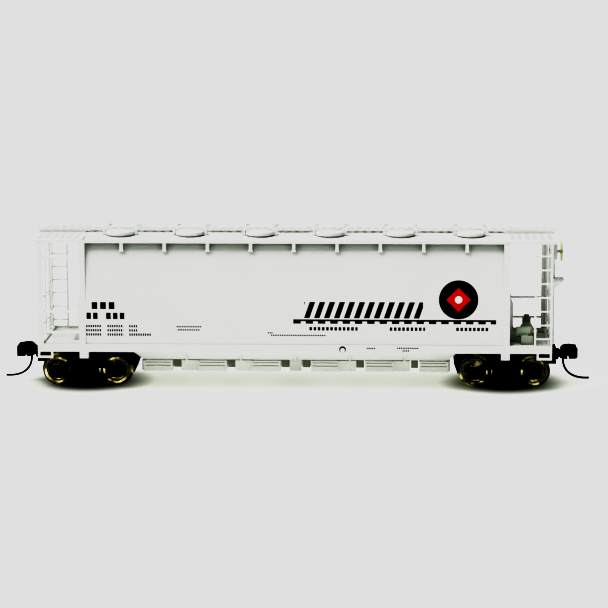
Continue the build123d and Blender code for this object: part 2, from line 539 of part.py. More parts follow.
with BuildPart() as truck_frame:
    # side frame outline with its two windows, then its twin across the car
    with BuildSketch(Plane.XZ.offset(FRAME_IN)):
        with BuildLine():
            Polyline((0, 5.0), (2.5, 4.95), (4.6, 4.1), (5.2, 3.75), (6.6, 3.6), (7.0, 3.2), (7.0, 2.0),
                     (6.5, 1.6), (5.0, 1.55), (2.5, 0.75), (0, 0.7))
            Line((0, 0.7), (0, 5.0))
        make_face()
        mirror(about=Plane.YZ)
        for side_x in (-1, 1):
            with BuildLine():
                Polyline((side_x * 2.3, 1.9), (side_x * 2.3, 3.9), (side_x * 4.2, 2.9), (side_x * 4.2, 2.3),
                         close=True)
            make_face(mode=Mode.SUBTRACT)
    extrude(amount=FRAME_OUT - FRAME_IN)
    # raised detail outside the frame: bearing caps, bolster end, springs and chord ribs
    with BuildSketch(Plane.XZ.offset(FRAME_OUT)):
        with Locations((-AXLE_X, AXLE_Z), (AXLE_X, AXLE_Z)):
            Circle(0.95)
    extrude(amount=0.4)
    with BuildSketch(Plane.XZ.offset(FRAME_OUT + 0.4)):
        with Locations((-AXLE_X, AXLE_Z), (AXLE_X, AXLE_Z)):
            Circle(0.6)
    extrude(amount=0.15)
    block((-1.45, 1.45), (-FRAME_OUT - 0.35, -FRAME_OUT), (3.1, 4.2))
    block((-1.6, 1.6), (-FRAME_OUT - 0.3, -FRAME_OUT), (0.95, 1.4))
    for x in (-0.95, 0, 0.95):
        with Locations((x, -FRAME_OUT, 1.4)):
            Cylinder(0.38, 1.7, align=(Align.CENTER, Align.CENTER, Align.MIN))
        for coil in range(4):
            with Locations((x, -FRAME_OUT, 1.6 + 0.42 * coil)):
                Torus(0.38, 0.09)
    for side_x in (-1, 1):
        with BuildSketch(Plane.XZ.offset(FRAME_OUT)):
            with BuildLine():
                Polyline((side_x * 2.4, 4.9), (side_x * 4.6, 4.05), (side_x * 4.5, 3.75),
                         (side_x * 2.3, 4.55), close=True)
            make_face()
        extrude(amount=0.2)
    mirror(about=Plane.XZ)
    # bolster between the side frames, centre boss and the pin's seat
    block((-1.4, 1.4), (-FRAME_IN, FRAME_IN), (3.4, BOLSTER_TOP))
    with Locations((0, 0, BOLSTER_TOP)):
        Cylinder(BOSS_RADIUS, CENTRE_TOP - BOLSTER_TOP, align=(Align.CENTER, Align.CENTER, Align.MIN))
    # beam across the inboard end, held by two bars over the axle
    with BuildSketch(Plane.XZ.offset(-BEAM_HALF)):
        with BuildLine():
            Polyline((BEAM_IN + 1.8, 5.65), (BEAM_IN + 1.2, 5.65), (BEAM_IN, 4.5), (BEAM_IN, 3.8),
                     (BEAM_IN + 0.7, 1.9), (BEAM_IN + 1.1, 1.9), (BEAM_IN + 1.8, 3.9), close=True)
        make_face()
    extrude(amount=2 * BEAM_HALF)
    for side_y in (-1, 1):
        block((BEAM_IN + 1.0, -1.4), sorted((side_y * 2.5, side_y * 3.3)), (3.9, 4.9))
    # arm and tray for the coupler, over the outboard axle
    block((1.4, TRAY_X[0] + 0.5), (-1.6, 1.6), (3.9, 5.6))
    block(TRAY_X, (-TRAY_Y, TRAY_Y), TRAY_Z)
    block((TRAY_X[0] + 0.5, TRAY_X[1] + 0.1), (-TRAY_Y + 0.45, TRAY_Y - 0.45), (TRAY_Z[0] + 0.45, TRAY_Z[1]),
          mode=Mode.SUBTRACT)
    block((MOUTH_X, TRAY_X[1] + 0.1), (-TRAY_Y, TRAY_Y), (TRAY_Z[0] + 0.45, TRAY_Z[1]), mode=Mode.SUBTRACT)
    with Locations((POST_LOCAL_X, 0, TRAY_Z[0])):
        Cylinder(POST_RADIUS, TRAY_Z[1] - TRAY_Z[0], align=(Align.CENTER, Align.CENTER, Align.MIN))
    # bore for the centre pin, and the recess for its head
    with Locations((0, 0, 3.0)):
        Cylinder(PIN_RADIUS + RUN_GAP, 4.0, align=(Align.CENTER, Align.CENTER, Align.MIN), mode=Mode.SUBTRACT)
        Cylinder(2.0, 1.4, align=(Align.CENTER, Align.CENTER, Align.MIN), mode=Mode.SUBTRACT)
    # cone bearings for the axle needles
    for x in (-AXLE_X, AXLE_X):
        with BuildSketch(Plane.XY.offset(AXLE_Z)):
            with BuildLine():
                Polyline((x, -NEEDLE_TIP - 0.1), (x, NEEDLE_TIP + 0.1),
                         (x + JOURNAL_RADIUS + 0.08, NEEDLE_ROOT), (x + JOURNAL_RADIUS + 0.08, -NEEDLE_ROOT),
                         close=True)
            make_face()
        revolve(axis=Axis((x, 0, AXLE_Z), (0, 1, 0)), mode=Mode.SUBTRACT)
write_pair(truck_frame.part, "truck_frame", TRUCK_X)

with BuildPart() as tray_lid:
    block((TRAY_X[0], TRAY_X[1]), (-TRAY_Y, TRAY_Y), (TRAY_Z[1], LID_TOP))
    fillet(tray_lid.edges().filter_by(Axis.Z), 0.3)
    with Locations((POST_LOCAL_X, 0, LID_TOP)):
        CounterSinkHole(0.35, 0.65, LID_TOP - TRAY_Z[1])
write_pair(tray_lid.part, "tray_lid", TRUCK_X)

# pin pushed up through the truck into the underframe's boss
PIN_HEAD = (3.95, 4.35)
with BuildPart() as centre_pin:
    with BuildSketch(Plane.XY.offset(PIN_HEAD[0])):
        Circle(1.9)
    extrude(amount=PIN_HEAD[1] - PIN_HEAD[0])
    with BuildSketch(Plane.XY.offset(PIN_HEAD[1])):
        Circle(PIN_RADIUS)
    extrude(amount=SILL_TOP - PIN_HEAD[1])
    chamfer(centre_pin.edges().group_by(Axis.Z)[0], 0.15)
    with BuildSketch(Plane.XY.offset(PIN_HEAD[0])):
        Rectangle(2.6, 0.4)
    extrude(amount=0.2, mode=Mode.SUBTRACT)
write_pair(centre_pin.part, "centre_pin", TRUCK_X)

# ---------------------------------------------------------------- wheelsets
BACK_Y = 3.78           # half the distance between the wheels' backs
WHEEL_WIDTH = 1.9

with BuildPart() as axle:
    with BuildSketch(Plane.XY):
        with BuildLine():
            Polyline((0, 0), (AXLE_RADIUS, 0), (AXLE_RADIUS, BACK_Y), (SEAT_RADIUS, BACK_Y),
                     (SEAT_RADIUS, BACK_Y + WHEEL_WIDTH + 0.1), (JOURNAL_RADIUS, BACK_Y + WHEEL_WIDTH + 0.2),
                     (JOURNAL_RADIUS, NEEDLE_ROOT), (0, NEEDLE_TIP), (0, 0))
        make_face()
        mirror(about=Plane.XZ)
    revolve(axis=Axis.Y)

with BuildPart() as wheels:
    with BuildSketch(Plane.XY):
        with BuildLine():
            Polyline((SEAT_RADIUS, BACK_Y), (FLANGE_RADIUS - 0.2, BACK_Y))
            ThreePointArc((FLANGE_RADIUS - 0.2, BACK_Y), (FLANGE_RADIUS, BACK_Y + 0.25),
                          (FLANGE_RADIUS - 0.2, BACK_Y + 0.5))
            Polyline((FLANGE_RADIUS - 0.2, BACK_Y + 0.5), (TREAD_RADIUS + 0.05, BACK_Y + 0.62),
                     (TREAD_RADIUS - 0.05, BACK_Y + WHEEL_WIDTH - 0.1),
                     (TREAD_RADIUS - 0.15, BACK_Y + WHEEL_WIDTH),
                     (2.1, BACK_Y + WHEEL_WIDTH), (1.95, BACK_Y + 1.1), (1.25, BACK_Y + 1.05),
                     (1.1, BACK_Y + WHEEL_WIDTH), (SEAT_RADIUS, BACK_Y + WHEEL_WIDTH), (SEAT_RADIUS, BACK_Y))
        make_face()
    revolve(axis=Axis.Y)
    mirror(about=Plane.XZ)

for place, x in (("outer", AXLE_X), ("inner", -AXLE_X)):
    lift = Location((x, 0, AXLE_Z))
    write_pair(axle.part.moved(lift), f"axle_{place}", TRUCK_X)
    write_pair(wheels.part.moved(lift), f"wheels_{place}", TRUCK_X)

# ---------------------------------------------------------------- couplers, in the same frame as the truck
SHANK_Z = (4.2, 5.12, 5.2, 6.1)    # jaw shank, then knuckle shank above it
SHANK_HALF = 0.95
HEAD_X = (10.55, 14.0)
HEAD_Z = (4.5, 6.78)
REAR_ARC = HEAD_X[0] - POST_LOCAL_X
SLOT_X = (7.5, 9.2)
SPRING_RADIUS = 0.36
SPRING_WIRE = 0.09
PIN_PLACE = (11.3, 0.1)
PIN_WIRE = 0.22


def shank(low, high):
    """Add a coupler shank from its rounded tail to the head, with the post hole and the spring slot."""
    with BuildSketch(Plane.XY.offset(low)) as plan:
        with Locations((POST_LOCAL_X, 0)):
            Circle(SHANK_HALF + 0.15)
        with Locations(((POST_LOCAL_X + HEAD_X[0]) / 2, 0)):
            Rectangle(HEAD_X[0] - POST_LOCAL_X, 2 * SHANK_HALF)
        with Locations((POST_LOCAL_X, 0)):
            Circle(POST_RADIUS + RUN_GAP, mode=Mode.SUBTRACT)
        with Locations(((SLOT_X[0] + SLOT_X[1]) / 2, 0)):
            Rectangle(SLOT_X[1] - SLOT_X[0], 1.1, mode=Mode.SUBTRACT)
    extrude(plan.sketch, amount=high - low)


def trim_to_side_view():
    """Cut the head being built to the coupler's outline seen from the side."""
    with BuildSketch(Plane.XZ.offset(-4)) as outline:
        with BuildLine():
            Polyline((4.0, 3.0), (9.9, 3.0), (10.5, 4.75), (11.1, 4.5), (12.05, 4.5), (12.05, 5.2), (12.3, 5.2),
                     (12.3, 4.55), (13.8, 4.55), (14.0, 4.75), (14.0, 6.4), (13.75, 6.62), (12.95, 6.66),
                     (12.65, 6.78), (11.9, 6.78))
            ThreePointArc((11.9, 6.78), (11.1, 6.55), (10.6, 5.95))
            Polyline((10.6, 5.95), (10.4, 7.4), (4.0, 7.4), (4.0, 3.0))
        make_face()
    extrude(outline.sketch, amount=8, mode=Mode.INTERSECT)


with BuildPart() as coupler_jaw:
    with BuildSketch(Plane.XY.offset(HEAD_Z[0])):
        with BuildLine():
            Polyline((10.55, -0.95), (11.88, -0.95), (11.96, -0.3), (12.43, 0.35), (13.14, 0.8), (13.92, 1.7),
                     (13.84, 2.2), (13.14, 2.25), (11.57, 1.75), (10.55, 1.3), close=True)
        make_face()
    extrude(amount=HEAD_Z[1] - HEAD_Z[0])
    with BuildSketch(Plane.XY.offset(SHANK_Z[1] + 0.02)):
        with Locations((POST_LOCAL_X, 0)):
            Circle(REAR_ARC + 0.4)
    extrude(amount=3.0, mode=Mode.SUBTRACT)
    shank(SHANK_Z[0], SHANK_Z[1])
    trim_to_side_view()
    with BuildSketch(Plane.XY.offset(HEAD_Z[0])):
        with Locations(PIN_PLACE):
            Circle(PIN_WIRE + 0.01)
    extrude(amount=1.5, mode=Mode.SUBTRACT)
write_pair(coupler_jaw.part, "coupler_jaw", TRUCK_X)

with BuildPart() as coupler_knuckle:
    with BuildSketch(Plane.XY.offset(HEAD_Z[0])):
        with BuildLine():
            Polyline((10.55, -1.05), (10.55, -1.75), (11.41, -2.1), (13.37, -2.1), (14.0, -1.6), (14.0, -0.5),
                     (13.61, 0.15), (13.14, 0.1), (12.98, -0.5), (12.67, -1.0), (12.12, -1.05), close=True)
        make_face()
    extrude(amount=HEAD_Z[1] - HEAD_Z[0])
    shank(SHANK_Z[2], SHANK_Z[3])
    block((HEAD_X[0] - 0.5, HEAD_X[0] + 0.25), (-1.45, -0.5), (SHANK_Z[2], SHANK_Z[3]))
    trim_to_side_view()
write_pair(coupler_knuckle.part, "coupler_knuckle", TRUCK_X)

with BuildPart() as trip_pin:
    with BuildLine():
        drop = Line((*PIN_PLACE, 5.6), (*PIN_PLACE, 4.3))
        Spline(drop @ 1, (16.3, PIN_PLACE[1], 0.55), tangents=(drop % 1, (1, 0, 0.08)))
    with BuildSketch(Plane(origin=drop @ 0, z_dir=drop % 0)):
        Circle(PIN_WIRE)
    sweep()
write_pair(trip_pin.part, "trip_pin", TRUCK_X)

with BuildPart() as coupler_spring:
    with BuildLine() as coil:
        Helix(0.32, SLOT_X[1] - SLOT_X[0] - 0.3, SPRING_RADIUS,
              center=(SLOT_X[0] + 0.15, 0, (SHANK_Z[0] + SHANK_Z[1]) / 2), direction=(1, 0, 0))
    with BuildSketch(Plane(origin=coil.line @ 0, z_dir=coil.line % 0)):
        Circle(SPRING_WIRE)
    sweep(is_frenet=True)
write_pair(coupler_spring.part, "coupler_spring", TRUCK_X)
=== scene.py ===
"""Looks for the N scale covered hopper car: finishes for every piece, a floor, soft light, a camera."""
import json
from math import radians

import bpy
from mathutils import Matrix, Vector


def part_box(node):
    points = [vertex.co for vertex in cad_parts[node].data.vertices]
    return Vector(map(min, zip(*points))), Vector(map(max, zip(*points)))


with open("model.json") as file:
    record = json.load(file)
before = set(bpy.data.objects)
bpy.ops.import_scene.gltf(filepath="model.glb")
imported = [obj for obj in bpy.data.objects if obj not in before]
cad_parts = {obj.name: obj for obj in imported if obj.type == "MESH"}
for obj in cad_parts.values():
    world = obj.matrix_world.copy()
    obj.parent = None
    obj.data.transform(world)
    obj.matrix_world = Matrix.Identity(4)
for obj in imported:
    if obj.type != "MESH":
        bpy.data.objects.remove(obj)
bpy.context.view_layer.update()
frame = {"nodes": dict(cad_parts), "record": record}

MM = 0.001


# ---------------------------------------------------------------- node helpers
class Graph:
    """A material's node tree, with short calls for the nodes used here."""

    def __init__(self, name):
        self.material = bpy.data.materials.new(name)
        self.material.use_nodes = True
        self.tree = self.material.node_tree
        self.tree.nodes.clear()
        self.out = self.tree.nodes.new("ShaderNodeOutputMaterial")
        self.bsdf = self.tree.nodes.new("ShaderNodeBsdfPrincipled")
        self.link(self.bsdf.outputs["BSDF"], self.out.inputs["Surface"])
        self.coords = self.tree.nodes.new("ShaderNodeTexCoord").outputs["Object"]

    def link(self, source, socket):
        self.tree.links.new(source, socket)

    def put(self, socket, value):
        """Link a socket to another node's output, or set it to a plain value."""
        if isinstance(value, bpy.types.NodeSocket):
            self.link(value, socket)
        else:
            socket.default_value = value

    def math(self, operation, a, b=0.0, c=0.0):
        node = self.tree.nodes.new("ShaderNodeMath")
        node.operation = operation
        for socket, value in zip(node.inputs, (a, b, c)):
            self.put(socket, value)
        return node.outputs[0]

    def noise(self, scale, detail=4.0, stretch=(1, 1, 1)):
        """Noise of a feature size in millimetres."""
        mapping = self.tree.nodes.new("ShaderNodeMapping")
        self.link(self.coords, mapping.inputs["Vector"])
        mapping.inputs["Scale"].default_value = stretch
        node = self.tree.nodes.new("ShaderNodeTexNoise")
        self.link(mapping.outputs[0], node.inputs["Vector"])
        node.inputs["Scale"].default_value = 1 / (scale * MM)
        node.inputs["Detail"].default_value = detail
        node.inputs["Roughness"].default_value = 0.55
        return node.outputs["Fac"]

    def ramp(self, fac, stops):
        node = self.tree.nodes.new("ShaderNodeValToRGB")
        self.link(fac, node.inputs["Fac"])
        ramp = node.color_ramp
        while len(ramp.elements) < len(stops):
            ramp.elements.new(0.5)
        for element, (place, colour) in zip(ramp.elements, stops):
            element.position = place
            element.color = (*colour, 1)
        return node.outputs["Color"]

    def mix(self, fac, a, b, blend="MIX"):
        node = self.tree.nodes.new("ShaderNodeMix")
        node.data_type = "RGBA"
        node.blend_type = blend
        self.put(node.inputs[0], fac)
        for socket, value in ((node.inputs[6], a), (node.inputs[7], b)):
            if isinstance(value, tuple) and len(value) == 3:
                value = (*value, 1)
            self.put(socket, value)
        return node.outputs[2]

    def edges(self, radius):
        """1 on edges sharper than the given rounding radius in millimetres, 0 on flats."""
        bevel = self.tree.nodes.new("ShaderNodeBevel")
        bevel.samples = 4
        bevel.inputs["Radius"].default_value = radius * MM
        geometry = self.tree.nodes.new("ShaderNodeNewGeometry")
        dot = self.tree.nodes.new("ShaderNodeVectorMath")
        dot.operation = "DOT_PRODUCT"
        self.link(bevel.outputs[0], dot.inputs[0])
        self.link(geometry.outputs["Normal"], dot.inputs[1])
        return self.math("MULTIPLY", self.math("SUBTRACT", 1.0, dot.outputs["Value"]), 5.0)

    def surface(self, height, depth, rounding=0.06):
        """Feed the normal with bump of a depth in millimetres over softly rounded edges."""
        bevel = self.tree.nodes.new("ShaderNodeBevel")
        bevel.samples = 4
        bevel.inputs["Radius"].default_value = rounding * MM
        bump = self.tree.nodes.new("ShaderNodeBump")
        bump.inputs["Strength"].default_value = 0.6
        bump.inputs["Distance"].default_value = depth * MM
        self.link(height, bump.inputs["Height"])
        self.link(bevel.outputs[0], bump.inputs["Normal"])
        self.link(bump.outputs[0], self.bsdf.inputs["Normal"])

    def separate(self):
        """The object coordinates, one by one."""
        node = self.tree.nodes.new("ShaderNodeSeparateXYZ")
        self.link(self.coords, node.inputs[0])
        return node.outputs["X"], node.outputs["Y"], node.outputs["Z"]


# ---------------------------------------------------------------- printed marks on the tank sides
class Printing:
    """Marks on a side of the car, in millimetres along the side (u, rightwards) and up (z)."""

    def __init__(self, graph):
        self.g = graph
        x, y, z = graph.separate()
        near = graph.math("SIGN", graph.math("MULTIPLY", y, -1.0))
        self.u = graph.math("MULTIPLY", graph.math("MULTIPLY", x, near), 1 / MM)
        self.z = graph.math("MULTIPLY", z, 1 / MM)
        side = graph.math("GREATER_THAN", graph.math("ABSOLUTE", y), 9.3 * MM)
        self.side = side
        self.total = None

    def add(self, mask):
        self.total = mask if self.total is None else self.g.math("MAXIMUM", self.total, mask)

    def box(self, u0, u1, z0, z1):
        g = self.g
        across = g.math("COMPARE", self.u, (u0 + u1) / 2, (u1 - u0) / 2)
        return g.math("MULTIPLY", across, g.math("COMPARE", self.z, (z0 + z1) / 2, (z1 - z0) / 2))

    def ticks(self, u0, u1, z0, z1, pitch, duty=0.6, slant=0.0):
        """A run of short upright bars between u0 and u1."""
        g = self.g
        along = g.math("SUBTRACT", self.u, u0)
        if slant:
            along = g.math("SUBTRACT", along, g.math("MULTIPLY", g.math("SUBTRACT", self.z, z0), slant))
        phase = g.math("FRACT", g.math("DIVIDE", along, pitch))
        return g.math("MULTIPLY", self.box(u0, u1, z0, z1), g.math("LESS_THAN", phase, duty))

    def distance(self, u, z):
        """Distance from a point of the side."""
        g = self.g
        du = g.math("SUBTRACT", self.u, u)
        dz = g.math("SUBTRACT", self.z, z)
        return g.math("SQRT", g.math("ADD", g.math("MULTIPLY", du, du), g.math("MULTIPLY", dz, dz)))

    def disc(self, u, z, radius):
        return self.g.math("LESS_THAN", self.distance(u, z), radius)

    def diamond(self, u, z, half):
        g = self.g
        reach = g.math("ADD", g.math("ABSOLUTE", g.math("SUBTRACT", self.u, u)),
                       g.math("ABSOLUTE", g.math("SUBTRACT", self.z, z)))
        return g.math("LESS_THAN", reach, half)


EMBLEM = (30.7, 17.1)
EMBLEM_RADIUS = 3.65
EMBLEM_DIAMOND = 2.3        # half diagonal
EMBLEM_HEART = 0.72         # radius of the pale centre
INK = (0.006, 0.006, 0.007)
EMBLEM_RED = (0.62, 0.015, 0.02)
EMBLEM_PALE = (0.80, 0.81, 0.79)


def print_side(graph, paint):
    """Marks where a car carries its lettering: bars, ticks, a notched stripe, a disc with a diamond."""
    p = Printing(graph)
    # large slanted bars over a stripe with a notched underside
    p.add(p.ticks(1.9, 24.1, 13.55, 16.6, 1.86, 0.55, slant=0.35))
    p.add(p.box(-0.1, 37.7, 12.95, 13.3))
    p.add(p.ticks(-0.1, 37.7, 12.5, 13.0, 2.3, 0.6))
    # rows of small ticks: under the stripe, beside the car's end, then fine ones here and there
    for u0, u1 in ((2.9, 11.9), (17.9, 24.5), (30.3, 36.3)):
        p.add(p.ticks(u0, u1, 11.2, 11.85, 0.78, 0.62))
    p.add(p.ticks(-37.9, -33.4, 15.1, 16.4, 1.6, 0.66))
    p.add(p.ticks(-38.9, -36.6, 13.2, 14.4, 1.25, 0.66))
    p.add(p.ticks(-35.2, -31.5, 13.2, 14.4, 1.28, 0.66))
    for row in range(3):
        z = 11.85 - 0.8 * row
        for u0, u1 in ((-39.0, -36.2), (-35.0, -32.0), (-30.9, -29.4 + 2.6 * (row == 2))):
            p.add(p.ticks(u0, u1, z - 0.22, z + 0.22, 0.42, 0.6))
    for u0, u1, z in ((-22.0, -17.3, 11.8), (-21.8, -17.6, 11.2), (-4.3, 6.0, 10.25), (13.6, 15.2, 7.85),
                      (19.3, 23.4, 7.9), (20.3, 21.6, 7.4), (-4.9, -4.0, 10.7)):
        p.add(p.ticks(u0, u1, z - 0.14, z + 0.14, 0.34, 0.6))
    p.add(graph.math("SUBTRACT", p.disc(9.1, 7.6, 0.62), p.disc(9.1, 7.45, 0.45)))
    p.add(p.disc(*EMBLEM, EMBLEM_RADIUS))
    ink = graph.math("MULTIPLY", p.total, p.side)
    speck = graph.noise(0.25, 2.0)
    ink = graph.math("MULTIPLY", ink, graph.ramp(speck, ((0.0, (0.93,) * 3), (0.6, (1.0,) * 3))))
    paint = graph.mix(ink, paint, INK)
    diamond = graph.math("MULTIPLY", p.diamond(*EMBLEM, EMBLEM_DIAMOND), p.side)
    heart = graph.math("MULTIPLY", p.disc(*EMBLEM, EMBLEM_HEART), p.side)
    paint = graph.mix(diamond, paint, EMBLEM_RED)
    return graph.mix(heart, paint, EMBLEM_PALE), ink


# ---------------------------------------------------------------- finishes
WHITE = (0.80, 0.81, 0.785)
# colour of the painted shade in corners
CORNER_SHADE_GREY = (0.40, 0.40, 0.36)
EDGE_WHITE = (0.9, 0.9, 0.88)
# grey of the lighter edges of black plastic: rubbed wear and painted highlight
RUBBED_AND_HIGHLIGHT_GREY = (0.26, 0.25, 0.235)
WHEEL_DARK = (0.035, 0.028, 0.012)
# brass of the painted glints on the wheels and of the painted highlight on their rims
GLINT_BRASS = (0.84, 0.76, 0.40)
RIM_HIGHLIGHT_BRASS = (0.96, 0.94, 0.64)


def white_paint(name, printed=False, tint=WHITE, dust_and_corner_shade=0.35, reach=1.2, corner_shade_colour=CORNER_SHADE_GREY, glow=0.0):
    """Satin white paint over moulded plastic, with painted shade in the corners and printed marks if
    asked.

    The painted shade spreads within a reach in millimetres of a corner, and the glow is painted light that
    keeps small pale pieces from printing too dark.
    """
    g = Graph(name)
    soft = g.noise(14.0, 5.0)
    fine = g.noise(0.5, 3.0)
    base = g.mix(g.ramp(soft, ((0.35, (0,) * 3), (0.7, (1,) * 3))), tint, tuple(c * 0.955 for c in tint))
    # painted shade: ambient occlusion darkens the paint towards the corner colour near corners and under
    # ledges
    shade = g.tree.nodes.new("ShaderNodeAmbientOcclusion")
    shade.samples = 4
    shade.inputs["Distance"].default_value = reach * MM
    corner = g.ramp(shade.outputs["AO"], ((0.25, (dust_and_corner_shade,) * 3), (0.85, (0.0,) * 3)))
    base = g.mix(corner, base, corner_shade_colour)
    base = g.mix(g.math("MULTIPLY", g.edges(0.12), 0.25), base, EDGE_WHITE)
    ink = None
    if printed:
        base, ink = print_side(g, base)
    g.link(base, g.bsdf.inputs["Base Color"])
    # painted light: the paint glows with its own colour by the given strength
    g.link(base, g.bsdf.inputs["Emission Color"])
    g.bsdf.inputs["Emission Strength"].default_value = glow
    rough = g.ramp(fine, ((0.3, (0.36,) * 3), (0.75, (0.50,) * 3)))
    if ink is not None:
        rough = g.mix(ink, rough, (0.30, 0.30, 0.30))
    g.link(rough, g.bsdf.inputs["Roughness"])
    g.bsdf.inputs["Specular IOR Level"].default_value = 0.45
    g.surface(g.noise(0.22, 3.0), 0.012, rounding=0.07)
    return g.material


def black_plastic(name, tint=(0.008, 0.008, 0.009), dust_and_corner_shade=(0.05, 0.047, 0.042), rough=0.5):
    """Black engineering plastic with dusty tops and lighter edges, partly rubbed wear and partly painted
    highlight.
    """
    g = Graph(name)
    patches = g.noise(1.6, 6.0)
    base = g.mix(g.ramp(patches, ((0.45, (0,) * 3), (0.72, (0.55,) * 3))), tint, dust_and_corner_shade)
    # lighter edges: rubbed wear together with a painted highlight
    base = g.mix(g.math("MULTIPLY", g.edges(0.14), 0.6), base, RUBBED_AND_HIGHLIGHT_GREY)
    g.link(base, g.bsdf.inputs["Base Color"])
    g.link(g.ramp(g.noise(0.35, 3.0), ((0.3, (rough - 0.1,) * 3), (0.7, (rough + 0.12,) * 3))),
           g.bsdf.inputs["Roughness"])
    g.surface(g.noise(0.16, 3.0), 0.015, rounding=0.06)
    return g.material


def metal(name, tint, dark, rough=0.35, grain=(1, 1, 1), metallic=1.0):
    """Turned or drawn metal, darker in patches, brighter along its edges."""
    g = Graph(name)
    patches = g.noise(1.1, 5.0, stretch=grain)
    base = g.mix(g.ramp(patches, ((0.4, (0,) * 3), (0.68, (1,) * 3))), tint, dark)
    base = g.mix(g.math("MULTIPLY", g.edges(0.1), 0.5), base, tuple(min(1, 1.35 * c + 0.05) for c in tint))
    g.link(base, g.bsdf.inputs["Base Color"])
    g.bsdf.inputs["Metallic"].default_value = metallic
    fine = g.noise(0.3, 3.0, stretch=grain)
    grainy = g.ramp(fine, ((0.3, (rough - 0.08,) * 3), (0.7, (rough + 0.15,) * 3)))
    g.link(grainy, g.bsdf.inputs["Roughness"])
    g.surface(g.noise(0.12, 2.0, stretch=grain), 0.008, rounding=0.05)
    return g.material


def wheel_bronze(name):
    """Wheels: blackened plate and flange, with brassy patches painted as glints and a painted highlight
    along the rim.
    """
    g = Graph(name)
    patches = g.noise(2.6, 3.0)
    # painted glints in brassy patches, and a painted highlight along the rims below
    base = g.mix(g.ramp(patches, ((0.50, (0,) * 3), (0.62, (1,) * 3))), WHEEL_DARK, GLINT_BRASS)
    base = g.mix(g.math("MULTIPLY", g.edges(0.16), 0.9), base, RIM_HIGHLIGHT_BRASS)
    g.link(base, g.bsdf.inputs["Base Color"])
    g.bsdf.inputs["Metallic"].default_value = 0.7
    g.link(g.ramp(g.noise(0.3, 3.0), ((0.3, (0.26,) * 3), (0.7, (0.44,) * 3))), g.bsdf.inputs["Roughness"])
    g.surface(g.noise(0.15, 2.0), 0.01, rounding=0.06)
    return g.material


# ---------------------------------------------------------------- smooth shading for curved faces
def smoothing_group():
    """Geometry nodes that weld the mesh and shade it smooth, except across sharp edges."""
    group = bpy.data.node_groups.new("smooth_by_angle", "GeometryNodeTree")
    group.interface.new_socket("Geometry", in_out="INPUT", socket_type="NodeSocketGeometry")
    group.interface.new_socket("Geometry", in_out="OUTPUT", socket_type="NodeSocketGeometry")
    nodes, links = group.nodes, group.links
    start = nodes.new("NodeGroupInput")
    end = nodes.new("NodeGroupOutput")
    weld = nodes.new("GeometryNodeMergeByDistance")
    weld.inputs["Distance"].default_value = 1e-7
    faces = nodes.new("GeometryNodeSetShadeSmooth")
    edges = nodes.new("GeometryNodeSetShadeSmooth")
    edges.domain = "EDGE"
    edges.inputs["Shade Smooth"].default_value = False
    angle = nodes.new("GeometryNodeInputMeshEdgeAngle")
    sharp = nodes.new("FunctionNodeCompare")
    sharp.data_type = "FLOAT"
    sharp.operation = "GREATER_THAN"
    sharp.inputs["B"].default_value = radians(28)
    links.new(start.outputs[0], weld.inputs["Geometry"])
    links.new(weld.outputs[0], faces.inputs["Geometry"])
    links.new(faces.outputs[0], edges.inputs["Geometry"])
    links.new(angle.outputs["Unsigned Angle"], sharp.inputs["A"])
    links.new(sharp.outputs["Result"], edges.inputs["Selection"])
    links.new(edges.outputs[0], end.inputs[0])
    return group


smoothing = smoothing_group()
finishes = {
    "body_white": white_paint("body_white"),
    # fittings and walks glow a little as painted light, and the fittings' stronger corner setting is
    # painted shade
    "fitting_white": white_paint("fitting_white", tint=(0.78, 0.79, 0.765), dust_and_corner_shade=0.5, glow=0.03),
    "walk_grey": white_paint("walk_grey", tint=(0.77, 0.78, 0.76), dust_and_corner_shade=0.3, glow=0.15),
    "truck_black": black_plastic("truck_black"),
    "coupler_black": black_plastic("coupler_black", rough=0.42),
    "wire_black": metal("wire_black", (0.02, 0.02, 0.022), (0.01, 0.01, 0.01), rough=0.4, metallic=0.6),
    "spring_bronze": metal("spring_bronze", (0.55, 0.36, 0.16), (0.3, 0.18, 0.08)),
    "wheel_bronze": wheel_bronze("wheel_bronze"),
    "axle_steel": metal("axle_steel", (0.30, 0.29, 0.27), (0.12, 0.11, 0.10), grain=(1, 8, 1)),
    "ballast_steel": metal("ballast_steel", (0.05, 0.05, 0.052), (0.02, 0.02, 0.02), rough=0.5,
                           metallic=0.7),
}
special = {
    # painted shade: the tank's corners darken green-grey under the eaves, the roof's round its hatches and
    # walks
    "body_shell": white_paint("tank_white", printed=True, dust_and_corner_shade=0.5, reach=1.5, corner_shade_colour=(0.17, 0.25, 0.19)),
    "roof": white_paint("roof_white", dust_and_corner_shade=0.55, reach=0.9, corner_shade_colour=(0.30, 0.32, 0.29)),
    "underframe": white_paint("sill_white", printed=True),
    "centre_sill": black_plastic("sill_grey", tint=(0.46, 0.48, 0.41), dust_and_corner_shade=(0.34, 0.34, 0.29)),
    "brake_wheel": metal("brake_wheel_olive", (0.64, 0.63, 0.51), (0.42, 0.41, 0.30), rough=0.5,
                         metallic=0.1),
    # the brake cylinder's grey-green tint is painted shade on a white fitting
    "brake_cylinder": white_paint("brake_cylinder_painted_shade", tint=(0.53, 0.57, 0.49), dust_and_corner_shade=0.4),
}
# hatches, lugs and gates glow a little as painted light
hatch_white = white_paint("hatch_white", dust_and_corner_shade=0.2, glow=0.1)
gate_white = white_paint("gate_white", dust_and_corner_shade=0.1, glow=0.08)
